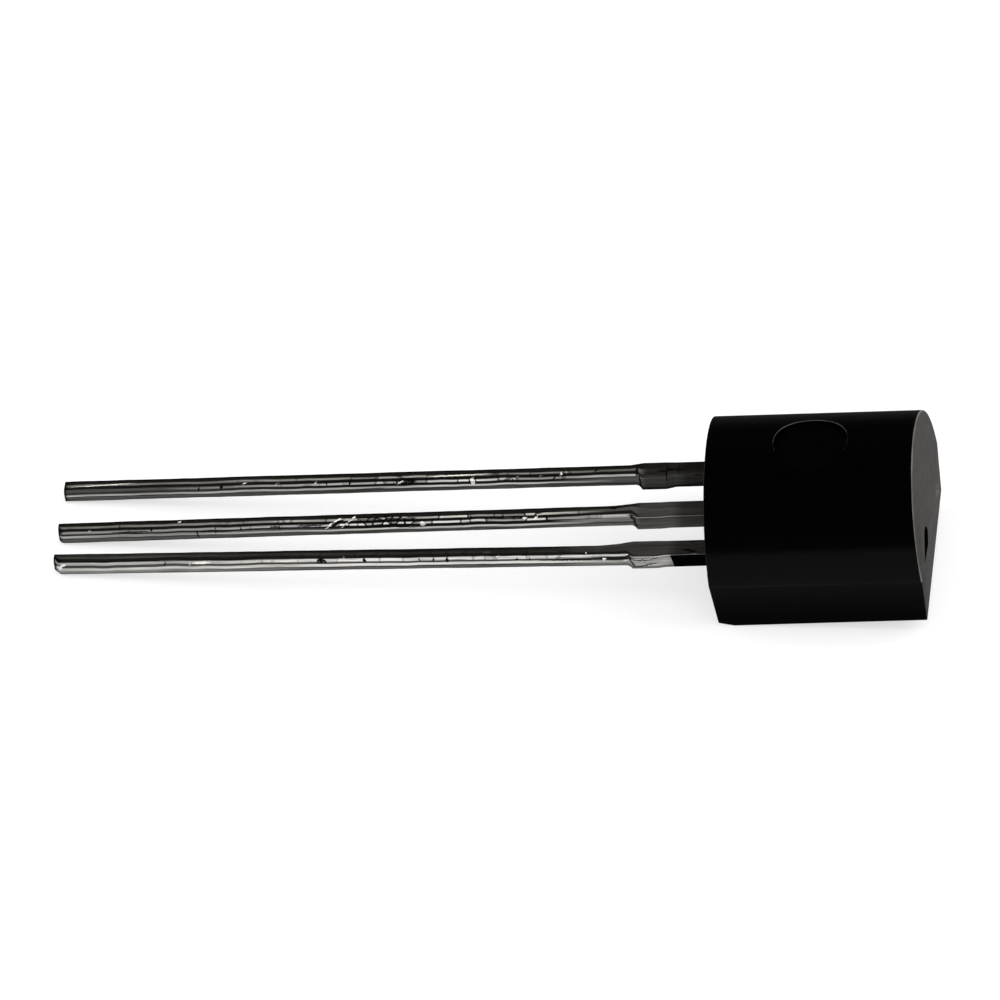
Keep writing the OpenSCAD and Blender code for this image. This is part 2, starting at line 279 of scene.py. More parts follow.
def case_blank(s):
    """The D-shaped prism, cut to its drafted ends and its bevel."""
    r, top = s.width / 2, s.parting + s.width / 2
    bm = bmesh.new()
    side = bm.verts.new((-SPARE, r, s.parting))
    bmesh.ops.spin(bm, geom=[side], cent=(-SPARE, 0, s.parting), axis=(1, 0, 0),
                   angle=math.pi, steps=BACK_STEPS)
    other = max(bm.verts, key=lambda v: (-v.co.y, -v.co.z))
    low = [bm.verts.new((-SPARE, y * s.flat / 2, 0)) for y in (1, -1)]
    for pair in ((side, low[0]), (low[0], low[1]), (low[1], other)):
        bm.edges.new(pair)
    outline = bmesh.ops.contextual_create(bm, geom=bm.edges[:])["faces"]
    walls = bmesh.ops.extrude_face_region(bm, geom=outline)["geom"]
    bmesh.ops.translate(bm, vec=(s.length + 2 * SPARE, 0, 0),
                        verts=[v for v in walls if isinstance(v, bmesh.types.BMVert)])
    bmesh.ops.recalc_face_normals(bm, faces=bm.faces)
    foot = s.parting * math.tan(s.base_flat) + s.bevel_l
    knee = (s.parting - s.bevel_h) * math.tan(s.base_flat)
    side_view = (
        ((0, s.parting), (knee, s.bevel_h)),
        ((knee, s.bevel_h), (foot, 0)),
        ((s.length - s.parting * math.tan(s.end_flat), 0), (s.length, s.parting)),
        ((s.length, s.parting), (s.length - r * math.tan(s.end_back), top)),
        ((r * math.tan(s.base_back), top), (0, s.parting)),
    )
    for (x0, z0), (x1, z1) in side_view:
        cut = bmesh.ops.bisect_plane(
            bm, geom=bm.verts[:] + bm.edges[:] + bm.faces[:], plane_co=(x0, 0, z0),
            plane_no=(z1 - z0, 0, x0 - x1), clear_outer=True)["geom_cut"]
        rim = [e for e in cut if isinstance(e, bmesh.types.BMEdge)]
        bmesh.ops.contextual_create(bm, geom=rim)
    return bm


def ejector_pin(s):
    """The pin whose end left the round mark in the back."""
    r = s.width / 2
    floor = s.parting + math.sqrt(r * r - s.ejector_d ** 2 / 4) - s.ejector_step
    bm = bmesh.new()
    bmesh.ops.create_cone(
        bm, cap_ends=True, segments=PIN_STEPS, radius1=s.ejector_d / 2, radius2=s.ejector_d / 2,
        depth=r, matrix=Matrix.Translation((s.ejector_x, 0, floor + r / 2)))
    return bm


def gate_stub(s):
    """The round end and tapered tail of the gate that broke off the closed end."""
    bm = bmesh.new()
    turn = math.acos(s.gate_r / s.gate_l)
    first = bm.verts.new((0, -s.gate_r * math.cos(turn), s.gate_r * math.sin(turn)))
    bmesh.ops.spin(bm, geom=[first], cent=(0, 0, 0), axis=(1, 0, 0),
                   angle=-2 * (math.pi - turn), steps=GATE_STEPS)
    last = max(bm.verts, key=lambda v: (v.co - first.co).z * -1 - v.co.y * 0.01)
    tail = bm.verts.new((0, -s.gate_l, 0))
    for v in (first, last):
        bm.edges.new((v, tail))
    face = bmesh.ops.contextual_create(bm, geom=bm.edges[:])["faces"]
    walls = bmesh.ops.extrude_face_region(bm, geom=face)["geom"]
    bmesh.ops.translate(bm, vec=(1, 0, 0),
                        verts=[v for v in walls if isinstance(v, bmesh.types.BMVert)])
    bmesh.ops.recalc_face_normals(bm, faces=bm.faces)
    place = (Matrix.Translation((s.length - s.gate_depth, -s.gate_y, s.parting + s.gate_up))
             @ Matrix.Rotation(s.gate_turn, 4, "X"))
    bmesh.ops.transform(bm, matrix=place, verts=bm.verts)
    return bm


# how far the flash reaches into the case, which it is one with
FLASH_ROOT = 0.2


def flash_film(s, leads):
    """The thin film of resin that ran out along the emitter lead."""
    bm = bmesh.new()
    inner = -leads.pitch - leads.emitter_reach[3]
    outline = ((-leads.flash_l, leads.thick), (leads.flash_tear - leads.flash_l, leads.flash_up),
               (FLASH_ROOT, leads.flash_up), (FLASH_ROOT, leads.thick))
    corners = [bm.verts.new((x, inner, s.parting + z)) for x, z in outline]
    edges = [bm.edges.new(pair) for pair in zip(corners, corners[1:] + corners[:1])]
    face = bmesh.ops.contextual_create(bm, geom=edges)["faces"]
    walls = bmesh.ops.extrude_face_region(bm, geom=face)["geom"]
    bmesh.ops.translate(bm, vec=(0, -leads.flash_t, 0),
                        verts=[v for v in walls if isinstance(v, bmesh.types.BMVert)])
    bmesh.ops.recalc_face_normals(bm, faces=bm.faces)
    return bm


# distances, in millimetres, that tell the parts of the case apart: the slack round a mark,
# the height over the parting line above which only the back is, the half height of the band
# with the gate scar and the flash, and the depths of the lead side and of the closed end
SLACK, HIGH_BACK, MIDDLE_BAND, SIDE_DEPTH, END_DEPTH, RIM_DEPTH = 0.05, 1.0, 0.4, 0.2, 0.11, 0.3
ROUNDED = math.radians(22)


def round_edges(bm, s, leads):
    """Rounds the edges, and gives the rim of the closed end its painted highlight."""
    outer, marks = [], []
    for edge in bm.edges:
        if len(edge.link_faces) != 2 or edge.calc_face_angle(0) < ROUNDED:
            continue
        x, y, z = (edge.verts[0].co + edge.verts[1].co) / 2
        in_band = abs(z - s.parting) < MIDDLE_BAND
        in_mark = (math.hypot(x - s.ejector_x, y) < s.ejector_d / 2 + SLACK
                   and z > s.parting + HIGH_BACK)
        in_gate = (x > s.length - s.gate_depth - SLACK
                   and abs(y + s.gate_y) < s.gate_l + SLACK and in_band)
        in_flash = x < SLACK and y < -leads.pitch and in_band
        if not in_flash:
            (marks if in_mark or in_gate else outer).append(edge)
    rounding = {"offset_type": "OFFSET", "segments": 3, "profile": 0.5, "affect": "EDGES",
                "material": -1, "loop_slide": True}
    bmesh.ops.bevel(bm, geom=marks, offset=s.fine_edge, clamp_overlap=True, **rounding)
    made = bmesh.ops.bevel(bm, geom=outer, offset=s.edge, clamp_overlap=False, **rounding)
    # the rounded upper rim of the closed end gets the painted highlight
    for face in made["faces"]:
        x, _, z = face.calc_center_median()
        if x > s.length - RIM_DEPTH and z > s.parting:
            face.material_index = PAINTED_HIGHLIGHT


# places of the finishes in the case's list
BACK, END, PAINTED_HIGHLIGHT, FLAT = range(4)
# place across the case from which the wall of the ejector mark gets the painted highlight, to the
# left
HIGHLIGHT_FROM = -0.3


def case_faces(bm, s):
    """Gives the ends and the half under the parting line their finishes, and the far part of the
    mark's wall its painted highlight.
    """
    bm.normal_update()
    for face in bm.faces:
        x, y, z = face.calc_center_median()
        if abs(face.normal.x) > 0.9 and (x < SIDE_DEPTH or x > s.length - END_DEPTH):
            face.material_index = END
        elif z < s.parting and x > SIDE_DEPTH:
            face.material_index = FLAT
        # the far part of the ejector mark's wall gets the painted highlight
        elif z > s.parting + HIGH_BACK and abs(face.normal.z) < 0.1 and y > HIGHLIGHT_FROM:
            face.material_index = PAINTED_HIGHLIGHT
        else:
            face.material_index = BACK


# distance, in millimetres, under which points that the cuts left are merged
MERGE = 0.004


class TRANSISTOR_OT_case(bpy.types.Operator):
    """Makes the moulded case, with its drafts, ejector mark, gate scar and flash"""

    bl_idname = "transistor.case"
    bl_label = "Moulded case"

    def execute(self, context):
        s, leads = in_mm(context.scene.case_sizes), in_mm(context.scene.lead_sizes)
        bm = combined(case_blank(s), ejector_pin(s), "DIFFERENCE")
        bm = combined(bm, gate_stub(s), "DIFFERENCE")
        bm = combined(bm, flash_film(s, leads), "UNION")
        bmesh.ops.remove_doubles(bm, verts=bm.verts, dist=MERGE)
        case_faces(bm, s)
        round_edges(bm, s, leads)
        finishes = [case_back(), case_end(), case_painted_highlight(), case_flat()]
        piece = placed(bm, "case_moulding", finishes)
        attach(piece, BODY)
        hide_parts("case")
        return {"FINISHED"}


# ---- the leads ----


# name of the node: side of the row, outwards
LEADS = {"base_lead": 1, "collector_lead": 0, "emitter_lead": -1}
CORNER_STEPS, FLAT_STEPS = 8, 6
# the tip and the stub have closer stations than the shaft between them: the lengths of both
# stretches, in millimetres, and the steps of all three
TIP_STRETCH, STUB_STRETCH, LAST_GAP = 0.16, 1.02, 0.02
TIP_STEPS, SHAFT_STEPS, STUB_STEPS = 10, 420, 110
# the lead frame inside the case, as the distance from the lead side and the reach to the right
# and to the left of the lead, or None where the neck goes on
PAD_LEAD = ((0.45, None, None), (0.45, 0.6, 0.6), (0.75, 0.6, 0.6), (0.75, 0.2, 0.2),
            (1.35, 0.2, 0.2), (1.35, 0.57, 0.57), (1.5, 0.72, 0.72), (3.25, 0.72, 0.72))
POST_LEAD = ((1.35, None, None), (1.65, 0.32, 0.5), (1.9, 0.32, 0.5), (1.9, 0.32, 0.3),
             (2.2, 0.32, 0.3), (2.2, 0.32, 0.5), (3.25, 0.32, 0.5))
# the place along a lead and the share of the way round whose finish its sheared ends have
CUT_PLACE = (-12.5, 0.89)


def edge_reach(x, stub, neck, slant, s):
    """How far one edge of a lead reaches from its centre at a place, and its radius there."""
    half, stub_end = s.width / 2, s.stub_x + s.stub_l
    # the slant starts inside the lead, so that it comes out of its rounded edge
    low = half - 1.5 * s.edge
    if x < -stub_end:
        line = low + (stub - low) * min(1, max(0, (x + stub_end + slant) / slant))
        sharp = min(1, max(0, (line - half + s.edge) / s.edge))
        return max(half, line), s.edge + (s.cut_edge - s.edge) * sharp
    if x < -s.stub_x:
        return stub, s.cut_edge
    done = min(1, (x + s.stub_x) / s.neck_slope)
    return stub + (neck - stub) * done, s.cut_edge


def tip_loss(name, along, s):
    """How much the right corner of a lead's tip has lost, at a distance from the tip."""
    if name == "collector_lead":
        r = s.tip_round
        return r - math.sqrt(max(0, r * r - max(0, r - along) ** 2))
    return max(0, (s.tip_cut if name == "emitter_lead" else s.tip_burr) - along)


def lead_sections(name, s):
    """Stations along a lead: place, right and left edge, their radii, inset of its faces."""
    short = name.replace("_lead", "")
    stub_left, stub_right, neck_left, neck_right = getattr(s, short + "_reach")
    slant = getattr(s, short + "_slant")
    tip, start = -s.length, -s.stub_x - s.stub_l - STUB_STRETCH
    shaft = tip + TIP_STRETCH
    places = [tip + TIP_STRETCH * (step / TIP_STEPS) ** 1.5 for step in range(TIP_STEPS)]
    places += [shaft + (start - shaft) * step / SHAFT_STEPS for step in range(SHAFT_STEPS)]
    places += [start + (-LAST_GAP - start) * step / STUB_STEPS for step in range(STUB_STEPS + 1)]
    stations = []
    for x in places:
        left, left_r = edge_reach(x, stub_left, neck_left, slant, s)
        right, right_r = edge_reach(x, stub_right, neck_right, s.right_slant, s)
        inset = max(0, s.tip_burr - (x - tip))
        right -= max(inset, tip_loss(name, x - tip, s))
        stations.append((x, -right, left - inset, right_r, left_r, inset))
    for x, right, left in PAD_LEAD if name == "collector_lead" else POST_LEAD:
        if LEADS[name] < 0:
            right, left = left, right
        right = neck_right if right is None else right
        left = neck_left if left is None else left
        stations.append((x, -right, left, s.cut_edge / 4, s.cut_edge / 4, 0))
    return stations


def ring_points(low, high, thick, low_r, high_r, inset):
    """A rounded rectangle: left top corner, top, right side, bottom and left side."""
    bottom, top = inset, thick - inset
    corners = (((high, top), (-1, -1), high_r, 0), ((low, top), (1, -1), low_r, 90),
               ((low, bottom), (1, 1), low_r, 180), ((high, bottom), (-1, 1), high_r, 270))
    arcs = []
    for (y, z), (dy, dz), radius, start in corners:
        turns = [math.radians(start + 90 * step / CORNER_STEPS) for step in range(CORNER_STEPS + 1)]
        arcs.append([Vector((y + dy * radius + radius * math.cos(a),
                             z + dz * radius + radius * math.sin(a))) for a in turns])
    points = []
    for arc, following in zip(arcs, arcs[1:] + arcs[:1]):
        flat = [arc[-1].lerp(following[0], step / FLAT_STEPS) for step in range(1, FLAT_STEPS)]
        points += arc + flat
    return points


def girth(s):
    """Distance round the lead of each point of its ring, from the left side over the top."""
    ring = ring_points(-s.width / 2, s.width / 2, s.thick, s.edge, s.edge, 0)
    marks = [0.0]
    for a, b in zip(ring, ring[1:] + ring[:1]):
        marks.append(marks[-1] + (b - a).length)
    return marks


# the uneven coat starts this far beyond the middle of the stub, in millimetres, and is full
# after the second length
COAT_START, COAT_FADE = 0.4, 0.6


def lead_body(name, s, parting):
    """One lead as a loft along its stations, with its girth and length as a UV map."""
    bm = bmesh.new()
    sections, marks, offset = lead_sections(name, s), girth(s), LEADS[name] * s.pitch
    bend = {"base_lead": s.base_bend, "collector_lead": -s.collector_bend,
            "emitter_lead": s.emitter_bend}[name]
    pivot = Vector((-s.stub_x - s.stub_l / 2, 0, 0))
    turn = -math.atan(bend / (s.length + pivot.x))
    bent = (Matrix.Translation(pivot) @ Matrix.Rotation(turn, 4, "Z")
            @ Matrix.Translation(-pivot))

    def ring_at(section):
        x, low, high, low_r, high_r, inset = section
        points = []
        coated = min(1, max(0, (pivot.x - COAT_START - x) / COAT_FADE))
        for i, point in enumerate(ring_points(low, high, s.thick, low_r, high_r, inset)):
            y, z = point
            point = Vector((x, y, z))
            # the coat swells slowly and, half as much, quickly
            swell = noise.noise(Vector((x * 1.3, marks[i] * 2.5, offset * 9)))
            swell += 0.5 * noise.noise(Vector((x * 4.1, marks[i] * 5, offset * 5)))
            inwards = Vector((0, -y, s.thick / 2 - z)).normalized()
            point += inwards * s.coat * coated * max(0, 0.5 + swell)
            if x < pivot.x:
                point = bent @ point
            points.append(point + Vector((0, offset, parting)))
        return points

    ring = [bm.verts.new(p) for p in ring_at(sections[0])]
    edges = [bm.edges.new((a, b)) for a, b in zip(ring, ring[1:] + ring[:1])]
    rings = [ring]
    for section in sections[1:]:
        made = bmesh.ops.extrude_edge_only(bm, edges=edges)["geom"]
        fresh = {v for v in made if isinstance(v, bmesh.types.BMVert)}
        following = [next(e.other_vert(v) for e in v.link_edges if e.other_vert(v) in fresh)
                     for v in ring]
        for v, point in zip(following, ring_at(section)):
            v.co = point
        edges = [bm.edges.get((a, b)) for a, b in zip(following, following[1:] + following[:1])]
        ring = following
        rings.append(ring)
    bmesh.ops.contextual_create(bm, geom=rings[-1])
    bmesh.ops.contextual_create(bm, geom=rings[0])
    layer = bm.loops.layers.uv.new("girth")
    number = {v: i for ring in rings for i, v in enumerate(ring)}
    reach = {v: sections[k][0] for k, ring in enumerate(rings) for v in ring}
    for face in bm.faces:
        cut = len(face.verts) == len(ring)
        seam = {number[v] for v in face.verts} == {0, len(ring) - 1}
        for loop in face.loops:
            i = number[loop.vert]
            place = (reach[loop.vert], marks[-1] if seam and i == 0 else marks[i])
            if cut:
                off = loop.vert.co - face.calc_center_median()
                place = (CUT_PLACE[0] + off.y, CUT_PLACE[1] * marks[-1] + off.z / 3)
            loop[layer].uv = place
    # where only one side steps, the other side's points coincide
    bmesh.ops.dissolve_degenerate(bm, dist=1e-5, edges=bm.edges)
    return bm


class TRANSISTOR_OT_leads(bpy.types.Operator):
    """Makes the three tinned leads with their stubs, cut tips and inner ends"""

    bl_idname = "transistor.leads"
    bl_label = "Tinned leads"

    def execute(self, context):
        s = in_mm(context.scene.lead_sizes)
        parting = in_mm(context.scene.case_sizes).parting
        for name in LEADS:
            piece = placed(lead_body(name, s, parting), name + "_tinned", [tinned(name)],
                           math.radians(50))
            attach(piece, BODY)
            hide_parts(name)
        return {"FINISHED"}


class TRANSISTOR_OT_inner_parts(bpy.types.Operator):
    """Gives the die, its bond layer and the bond wires inside the case their finish"""

    bl_idname = "transistor.inner_parts"
    bl_label = "Die and wires"

    def execute(self, context):
        finish = context.scene.finish
        gold = plain_metal("gold_wire", finish.gold, 0.25, 9000)
        plan = {"die": plain_metal("silicon", finish.silicon, 0.12, 900),
                "die_attach": plain_metal("bond_layer", finish.solder, 0.45, 4000),
                "base_wire": gold, "emitter_wire": gold}
        for name, material in plan.items():
            frame["nodes"][name].material_slots[0].material = material
        return {"FINISHED"}


# ---- materials ----


# share of a mark's reach inside which it shows in full
MARK_CORE = 0.7


class Nodes:
    """Short calls that add and join the nodes of one material or world."""

    def __init__(self, owner):
        owner.use_nodes = True
        self.tree = owner.node_tree
        self.tree.nodes.clear()

    def add(self, kind, inputs=(), **settings):
        """A node with its settings, and with values or links in its inputs."""
        node = self.tree.nodes.new(kind)
        for key, value in settings.items():
            setattr(node, key, value)
        for key, value in dict(inputs).items():
            self.put(node.inputs[key], value)
        return node

    def put(self, socket, value):
        """Links an output to a socket, or sets the socket's value."""
        if isinstance(value, bpy.types.NodeSocket):
            self.tree.links.new(value, socket)
        elif value is not None:
            socket.default_value = value

    def math(self, operation, a, b=None, c=None, clamp=False):
        node = self.add("ShaderNodeMath", operation=operation, use_clamp=clamp)
        for socket, value in zip(node.inputs, (a, b, c)):
            self.put(socket, value)
        return node.outputs[0]

    def ramp(self, value, stops):
        """A colour or a number from its stops."""
        node = self.add("ShaderNodeValToRGB")
        points = node.color_ramp.elements
        while len(points) < len(stops):
            points.new(0.5)
        for point, (place, shade) in zip(points, stops):
            point.position = place
            point.color = (*shade, 1) if isinstance(shade, tuple) else (shade, shade, shade, 1)
        self.put(node.inputs[0], value)
        return node.outputs[0]

    def mix(self, factor, a, b, blend="MIX"):
        node = self.add("ShaderNodeMix", data_type="RGBA", blend_type=blend)
        colours = [s for s in node.inputs if s.type == "RGBA"]
        self.put(node.inputs[0], factor)
        for socket, value in zip(colours, (a, b)):
            self.put(socket, (*value, 1) if isinstance(value, tuple) and len(value) == 3 else value)
        return next(s for s in node.outputs if s.type == "RGBA")

    def blend(self, factor, a, b):
        """Mixes two numbers, which takes far less of a renderer's room than colours."""
        node = self.add("ShaderNodeMix", data_type="FLOAT")
        numbers = [s for s in node.inputs if s.type == "VALUE"]
        for socket, value in zip(numbers, (factor, a, b)):
            self.put(socket, value)
        return node.outputs[0]

    def noise(self, vector, scale, detail, roughness=0.5):
        return self.add("ShaderNodeTexNoise", {
            "Vector": vector, "Scale": scale, "Detail": detail, "Roughness": roughness}).outputs[0]

    def vector(self, x, y, z):
        return self.add("ShaderNodeCombineXYZ", {0: x, 1: y, 2: z}).outputs[0]

    def ellipsoid(self, place, centre, halves, turn):
        """1 in a soft-edged ellipsoid that is turned by angles in degrees, 0 outside it."""
        local = self.add(
            "ShaderNodeMapping",
            {"Vector": place, "Location": centre, "Rotation": [math.radians(a) for a in turn],
             "Scale": halves}, vector_type="TEXTURE").outputs[0]
        away = self.add("ShaderNodeVectorMath", {0: local}, operation="LENGTH").outputs["Value"]
        return self.add("ShaderNodeMapRange", {
            "Value": away, "From Min": MARK_CORE, "From Max": 1.0,
            "To Min": 1.0, "To Max": 0.0}).outputs[0]

    def mark(self, place, u, v, half_u, half_v, turn):
        """A soft-edged ellipse on the girth map."""
        return self.ellipsoid(place, (u, v, 0), (half_u, half_v, 1), (0, 0, turn))

    def bump(self, height, strength, distance):
        return self.add("ShaderNodeBump", {
            "Height": height, "Strength": strength, "Distance": distance}).outputs[0]

    def surface(self, **inputs):
        shader = self.add("ShaderNodeBsdfPrincipled")
        for key, value in inputs.items():
            socket = shader.inputs[key.replace("_", " ")]
            if isinstance(value, tuple) and len(value) == 3:
                value = (*value, 1)
            self.put(socket, value)
        out = self.add("ShaderNodeOutputMaterial")
        self.tree.links.new(shader.outputs[0], out.inputs[0])
        return shader


def moulded(name, base, roughness, level, grain, mottle):
    """Epoxy moulding compound: fine grain from the mould with cloudy filler.

    The base colour and the gloss level are plain, or are made from the nodes and the place.
    Noises are scaled in cycles per metre.
    """
    material = bpy.data.materials.new(name)
    n = Nodes(material)
    place = n.add("ShaderNodeTexCoord").outputs["Object"]
    fine = n.noise(place, 26000, 3, 0.6)
    shade = n.ramp(n.noise(place, 1500, 3, 0.55), ((0.3, 1 - mottle), (0.7, 1 + mottle)))
    speck = n.ramp(n.noise(place, 60000, 1, 0.5), ((0.62, 0.0), (0.72, 0.35)))
    shade = n.mix(speck, shade, (2.0, 2.0, 2.0))
    base, level = (made(n, place) if callable(made) else made for made in (base, level))
    rough = n.math("ADD", n.math("MULTIPLY", n.noise(place, 4000, 3), 0.16), roughness - 0.08)
    n.surface(Base_Color=n.mix(1.0, base, shade, "MULTIPLY"), Roughness=rough, IOR=1.5,
              Specular_IOR_Level=level, Normal=n.bump(fine, grain, 4e-6))
    return material


# Gloss of the round back and of the sides under it, and the painted shade of the ends, as stops
# across the case from its right side.
BACK_GLOSS = ((0.03, 0.045), (0.045, 0.01), (0.09, 0.004), (0.6, 0.003), (0.8, 0.0008),
              (0.86, 0.0008), (0.91, 0.004), (0.955, 0.01), (0.97, 0.045))
SIDE_GLOSS = ((0.0, 0.028), (0.012, 0.018), (0.028, 0.009))
END_PAINTED_SHADE = ((0.05, 0.4), (0.25, 0.8), (0.5, 1.0))
# The scuff on the closed end: place across and up in millimetres, half sizes in metres, turn in
# degrees, and how much paler than the end it is.
SCUFF_PLACE, SCUFF_HALVES = (1.45, 0.55), (MM, 0.17 * MM, 0.45 * MM)
SCUFF_TURN, SCUFF_GAIN = 49, 3.2


def across_case(n, place, *stops):
    """A value from its stops at shares of the case's width, from the right side."""
    y = n.add("ShaderNodeSeparateXYZ", {0: place}).outputs[1]
    width = bpy.context.scene.case_sizes.width
    return n.ramp(n.math("ADD", n.math("DIVIDE", y, width), 0.5), stops)


def case_back():
    """Satin black of the round back, duller where the mould is worn."""
    finish = bpy.context.scene.finish

    def level(n, place):
        return across_case(n, place, *BACK_GLOSS)

    return moulded("case_back", tuple(finish.case), finish.case_roughness, level, 0.25, 0.25)


def case_flat():
    """Duller black of the half under the parting line, with the flat."""
    finish = bpy.context.scene.finish

    def level(n, place):
        return across_case(n, place, *SIDE_GLOSS)

    return moulded("case_flat", tuple(finish.case), 0.5, level, 0.3, 0.25)


def case_end():
    """Matt finish of the two ends, paler than the back partly as painted light, darker to the right
    in painted shade, with a scuff on the closed end.
    """
    finish = bpy.context.scene.finish
    scuff = rest_place() @ Vector((bpy.context.scene.case_sizes.length / MM, *SCUFF_PLACE))

    def tone(n, place):
        # painted shade: the ends are darker towards the right side
        shade = across_case(n, place, *END_PAINTED_SHADE)
        darkened = n.mix(1.0, tuple(finish.end), shade, "MULTIPLY")
        scuffed = n.ellipsoid(place, scuff, SCUFF_HALVES, (SCUFF_TURN, 0, 0))
        patchy = n.ramp(n.noise(place, 11000, 3), ((0.42, 0.0), (0.55, 1.0)))
        scuffed = n.math("MULTIPLY", scuffed, patchy)
        return n.mix(scuffed, darkened, tuple(c * SCUFF_GAIN for c in finish.end))

    return moulded("case_end", tone, 0.6, 0.07, 0.5, 0.1)


def case_painted_highlight():
    """Painted highlight on the rims of the closed end and of the ejector mark, black further down.
    """
    finish, s = bpy.context.scene.finish, bpy.context.scene.case_sizes
    start = rest_place() @ Vector((0, 0, s.parting / MM))
    ahead = (rest_place().to_3x3() @ Vector((1, 0, 0))).normalized()

    # how much painted highlight a point gets: full near the round surface, none deeper in
    def highlighted(n, place):
        out = n.add("ShaderNodeVectorMath", {0: place, 1: start}, operation="SUBTRACT").outputs[0]
        out = n.add("ShaderNodeVectorMath", {0: out, 1: ahead}, operation="CROSS_PRODUCT")
        radius = n.add("ShaderNodeVectorMath", {0: out.outputs[0]}, operation="LENGTH")
        proud = n.math("SUBTRACT", radius.outputs["Value"], s.width / 2 - s.highlight_depth)
        return n.math("DIVIDE", proud, s.highlight_depth / 2, clamp=True)

    def tone(n, place):
        return n.mix(highlighted(n, place), tuple(finish.case), tuple(finish.worn))

    def level(n, place):
        return n.math("MULTIPLY", highlighted(n, place), 0.2)

    return moulded("case_painted_highlight", tone, 0.45, level, 0.4, 0.5)


def plain_metal(name, base, roughness, scale):
    """A bare metal with faint clouding and fine marks."""
    material = bpy.data.materials.new(name)
    n = Nodes(material)
    place = n.add("ShaderNodeTexCoord").outputs["Object"]
    cloud = n.noise(place, scale, 3)
    tone = n.ramp(cloud, ((0.3, tuple(c * 0.8 for c in base)), (0.7, tuple(base))))
    rough = n.math("ADD", n.math("MULTIPLY", cloud, 0.2), roughness - 0.1)
    n.surface(Base_Color=tone, Metallic=1.0, Roughness=rough,
              Normal=n.bump(n.noise(place, scale * 6, 3), 0.2, 2e-6))
    return material


# Stripes of tin that show round each lead, as start, end and share of tin: near the tip, in the
# worn middle, towards the stub and on the stub. Places are shares of the way round, from the
# left side over the top, and between the stripes the coat is dull. The stripes are partly the
# real worn and dull coat and partly painted light: bright stripes stand in for the highlights
# on the ridge and the sides, and the dull coat for painted shade on the top.
TIN_AND_PAINTED_LIGHT_BANDS = {
    "base_lead": (
        ((0.19, 0.225, 0.22), (0.3, 0.37, 0.07), (0.4, 0.43, 0.5), (0.46, 0.5, 0.09)),
        ((0.205, 0.235, 0.3), (0.32, 0.34, 0.6), (0.41, 0.44, 0.8), (0.465, 0.5, 0.07)),
        ((0.19, 0.23, 0.09), (0.31, 0.335, 0.45), (0.36, 0.46, 0.11), (0.48, 0.5, 0.04)),
        ((0.0, 0.24, 0.015), (0.26, 0.29, 0.035), (0.31, 0.345, 0.08), (0.37, 0.47, 0.055))),
    "collector_lead": (
        ((0.195, 0.235, 0.18), (0.31, 0.345, 0.24), (0.385, 0.43, 0.38), (0.46, 0.5, 0.14)),
        ((0.21, 0.245, 0.42), (0.32, 0.34, 0.78), (0.42, 0.445, 0.8), (0.465, 0.5, 0.07)),
        ((0.18, 0.23, 0.06), (0.31, 0.345, 0.48), (0.36, 0.41, 0.32), (0.43, 0.45, 0.22),
         (0.475, 0.5, 0.12)),
        ((0.0, 0.29, 0.04), (0.31, 0.345, 0.3), (0.37, 0.5, 0.11))),
    "emitter_lead": (
        ((0.0, 0.13, 0.03), (0.16, 0.205, 0.055), (0.3, 0.34, 0.48), (0.365, 0.38, 0.08),
         (0.405, 0.445, 0.7), (0.465, 0.5, 0.3)),
        ((0.17, 0.22, 0.025), (0.305, 0.34, 0.85), (0.36, 0.385, 0.06), (0.4, 0.445, 1.0),
         (0.48, 0.5, 0.15)),
        ((0.0, 0.24, 0.035), (0.305, 0.33, 0.6), (0.42, 0.455, 0.43), (0.475, 0.5, 0.22)),
        ((0.0, 0.29, 0.035), (0.31, 0.335, 0.42), (0.35, 0.39, 0.3), (0.41, 0.47, 0.48),
         (0.49, 0.5, 0.15))),
}
UNDERSIDE = ((0.52, 0.6, 0.15), (0.64, 0.76, 0.3), (0.8, 0.97, 0.45))
STRIPE_EDGE = 0.012
DULL_SHARE = 0.01
# How far the stripes wander to either side at most, in millimetres
WANDER = 0.05
# Length of a lead that the ramps along it cover, in millimetres
RAMP_LENGTH = 15.3

# How strongly the worn coat of each lead is cracked into tiles
TILED = {"base_lead": 0.7, "collector_lead": 0.85, "emitter_lead": 0.4}

# Where the coat is broken up finely: place along and round the lead, half length, half width.
BROKEN = {
    "base_lead": (-6.85, 0.4, 0.3, 0.1), "collector_lead": (-7.1, 0.37, 0.85, 0.19),
    "emitter_lead": (-8.45, 0.43, 0.12, 0.06)}

# Single marks, from the tip to the case: how much tin shows, place along and round the lead,
# half length, half width, and turn in degrees.
# Cracks are dark, stains dull and scrapes bright tin; the brightest marks are painted glints,
# brighter than clean tin can be.
CRACK, STAIN, SCRAPE, PAINTED_GLINT = 0.0, 0.05, 0.8, 1.7
